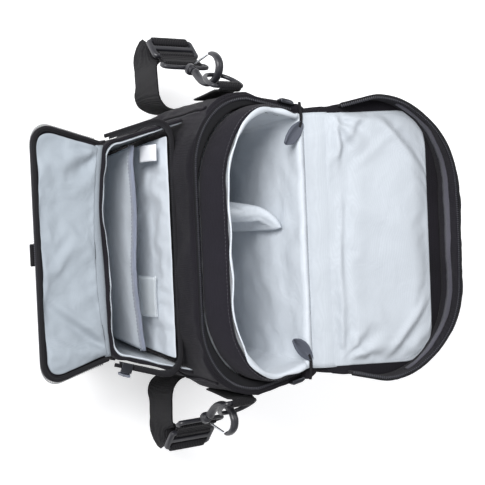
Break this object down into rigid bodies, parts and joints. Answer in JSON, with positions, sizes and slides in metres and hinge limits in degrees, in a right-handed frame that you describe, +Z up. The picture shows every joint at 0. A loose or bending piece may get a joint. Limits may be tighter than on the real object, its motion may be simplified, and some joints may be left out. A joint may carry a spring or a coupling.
{
  "type": "camera bag",
  "caption": "Padded black camera shoulder bag shown open: zipped lid turned back, grey lining, padded divider, zipped front pocket, shoulder strap on swivel hooks",
  "frame": {"origin": "middle of the flat underside of the main compartment", "axes": "+X across the width, -Y towards the front pocket, +Z up; shown with the lid and the pocket flap open"},
  "size_m": [0.3612, 0.3621, 0.2684],
  "materials": {
    "shell_fabric": "padded woven nylon, matte",
    "lining_fabric": "smooth grey lining cloth",
    "zip_tape": "zip tape and coil",
    "webbing": "flat woven webbing",
    "hardware_plastic": "moulded, fine satin",
    "pull_rubber": "soft moulded pull",
    "wire_steel": "plated wire and slider",
    "grey_binding": "woven edge tape",
    "white_label": "blank woven tab",
    "clear_window": "clear flexible film"
  },
  "bodies": {
    "root": {"base_panel": "shell_fabric", "front_wall": "shell_fabric", "back_wall": "shell_fabric", "left_end_wall": "shell_fabric", "right_end_wall": "shell_fabric", "compartment_lining": "lining_fabric", "front_collar": "shell_fabric", "left_collar": "shell_fabric", "right_collar": "shell_fabric", "body_zip": "zip_tape", "lid_hinge_web": "shell_fabric", "pocket_front_panel": "shell_fabric", "pocket_left_gusset": "shell_fabric", "pocket_right_gusset": "shell_fabric", "pocket_base": "shell_fabric", "pocket_back_lining": "lining_fabric", "organiser_sleeve": "lining_fabric", "sleeve_binding": "grey_binding", "card_window": "clear_window", "woven_label": "white_label", "pocket_zip": "zip_tape", "ring_tab_left": "webbing", "ring_tab_right": "webbing", "shoulder_strap": "webbing", "shoulder_pad": "shell_fabric"},
    "divider": {"divider": "lining_fabric"},
    "lid": {"lid_panel": "shell_fabric", "lid_padding": "lining_fabric", "lid_gusset": "shell_fabric", "lid_zip": "zip_tape", "grab_handle": "webbing"},
    "pocket_flap": {"flap_panel": "shell_fabric", "flap_lining": "lining_fabric", "flap_zip": "zip_tape", "flap_pull_tab": "webbing"},
    "pocket_slider": {"pocket_slider": "wire_steel"},
    "pocket_pull": {"pocket_pull": "pull_rubber"},
    "main_slider_left": {"main_slider_left": "wire_steel"},
    "main_pull_left": {"main_pull_left": "pull_rubber"},
    "ring_left": {"ring_left": "hardware_plastic"},
    "hook_left": {"hook_left": "hardware_plastic"},
    "gate_left": {"gate_left": "wire_steel"},
    "swivel_left": {"swivel_post_left": "hardware_plastic", "strap_loop_left": "hardware_plastic", "end_webbing_left": "webbing"},
    "adjuster_left": {"adjuster_left": "hardware_plastic"},
    "main_slider_right": {"main_slider_right": "wire_steel"},
    "main_pull_right": {"main_pull_right": "pull_rubber"},
    "ring_right": {"ring_right": "hardware_plastic"},
    "hook_right": {"hook_right": "hardware_plastic"},
    "gate_right": {"gate_right": "wire_steel"},
    "swivel_right": {"swivel_post_right": "hardware_plastic", "strap_loop_right": "hardware_plastic", "end_webbing_right": "webbing"},
    "adjuster_right": {"adjuster_right": "hardware_plastic"}
  },
  "joints": [
    {"name": "lid_hinge", "type": "hinge", "parent": "root", "child": "lid", "pos_m": [0, 0.043, 0.204], "axis": [1, 0, 0], "range_deg": [-60, 158]},
    {"name": "divider_slide", "type": "slide", "parent": "root", "child": "divider", "axis": [1, 0, 0], "range_m": [-0.032, 0.05]},
    {"name": "flap_hinge", "type": "hinge", "parent": "root", "child": "pocket_flap", "pos_m": [0, -0.124, 0.133], "axis": [-1, 0, 0], "range_deg": [-60, 169]},
    {"name": "pocket_slide", "type": "slide", "parent": "root", "child": "pocket_slider", "axis": [0.2835, 0.9171, 0.2804], "range_m": [0, 0.022]},
    {"name": "pocket_pull_hinge", "type": "hinge", "parent": "pocket_slider", "child": "pocket_pull", "pos_m": [0.1022, -0.11072, 0.13915], "axis": [0, -0.9563, -0.2924], "range_deg": [0, 120]},
    {"name": "main_slide_left", "type": "slide", "parent": "root", "child": "main_slider_left", "axis": [-0.2248, -0.9492, -0.2204], "range_m": [0, 0.024]},
    {"name": "main_pull_hinge_left", "type": "hinge", "parent": "main_slider_left", "child": "main_pull_left", "pos_m": [-0.115, 0.03, 0.198], "axis": [0, -1, 0], "range_deg": [0, 150]},
    {"name": "ring_hinge_left", "type": "hinge", "parent": "root", "child": "ring_left", "pos_m": [-0.1308, -0.022, 0.17], "axis": [0, 1, 0], "range_deg": [0, 60]},
    {"name": "hook_hinge_left", "type": "hinge", "parent": "ring_left", "child": "hook_left", "pos_m": [-0.1426, -0.022, 0.149], "axis": [0, 1, 0], "range_deg": [0, 30]},
    {"name": "gate_hinge_left", "type": "hinge", "parent": "hook_left", "child": "gate_left", "pos_m": [-0.155, -0.022, 0.122], "axis": [0, 1, 0], "range_deg": [0, 25]},
    {"name": "swivel_left", "type": "hinge", "parent": "hook_left", "child": "swivel_left", "pos_m": [-0.1496, -0.022, 0.119], "axis": [-0.3956, 0, -0.9184], "range_deg": [-40, 40]},
    {"name": "adjuster_slide_left", "type": "slide", "parent": "swivel_left", "child": "adjuster_left", "axis": [-0.7779, 0, -0.6283], "range_m": [0, 0.012]},
    {"name": "main_slide_right", "type": "slide", "parent": "root", "child": "main_slider_right", "axis": [0.2248, -0.9492, -0.2204], "range_m": [0, 0.024]},
    {"name": "main_pull_hinge_right", "type": "hinge", "parent": "main_slider_right", "child": "main_pull_right", "pos_m": [0.115, 0.03, 0.198], "axis": [0, 1, 0], "range_deg": [0, 150]},
    {"name": "ring_hinge_right", "type": "hinge", "parent": "root", "child": "ring_right", "pos_m": [0.1308, -0.022, 0.17], "axis": [0, -1, 0], "range_deg": [0, 60]},
    {"name": "hook_hinge_right", "type": "hinge", "parent": "ring_right", "child": "hook_right", "pos_m": [0.1426, -0.022, 0.149], "axis": [0, -1, 0], "range_deg": [0, 30]},
    {"name": "gate_hinge_right", "type": "hinge", "parent": "hook_right", "child": "gate_right", "pos_m": [0.155, -0.022, 0.122], "axis": [0, -1, 0], "range_deg": [0, 25]},
    {"name": "swivel_right", "type": "hinge", "parent": "hook_right", "child": "swivel_right", "pos_m": [0.1496, -0.022, 0.119], "axis": [0.3956, 0, -0.9184], "range_deg": [-40, 40]},
    {"name": "adjuster_slide_right", "type": "slide", "parent": "swivel_right", "child": "adjuster_right", "axis": [0.7779, 0, -0.6283], "range_m": [0, 0.012]}
  ],
  "couplings": [
    {"joint": "main_pull_hinge_left", "follows": "main_slide_left", "rad_per_m": 108.94},
    {"joint": "main_pull_hinge_right", "follows": "main_slide_right", "rad_per_m": 108.94}
  ]
}
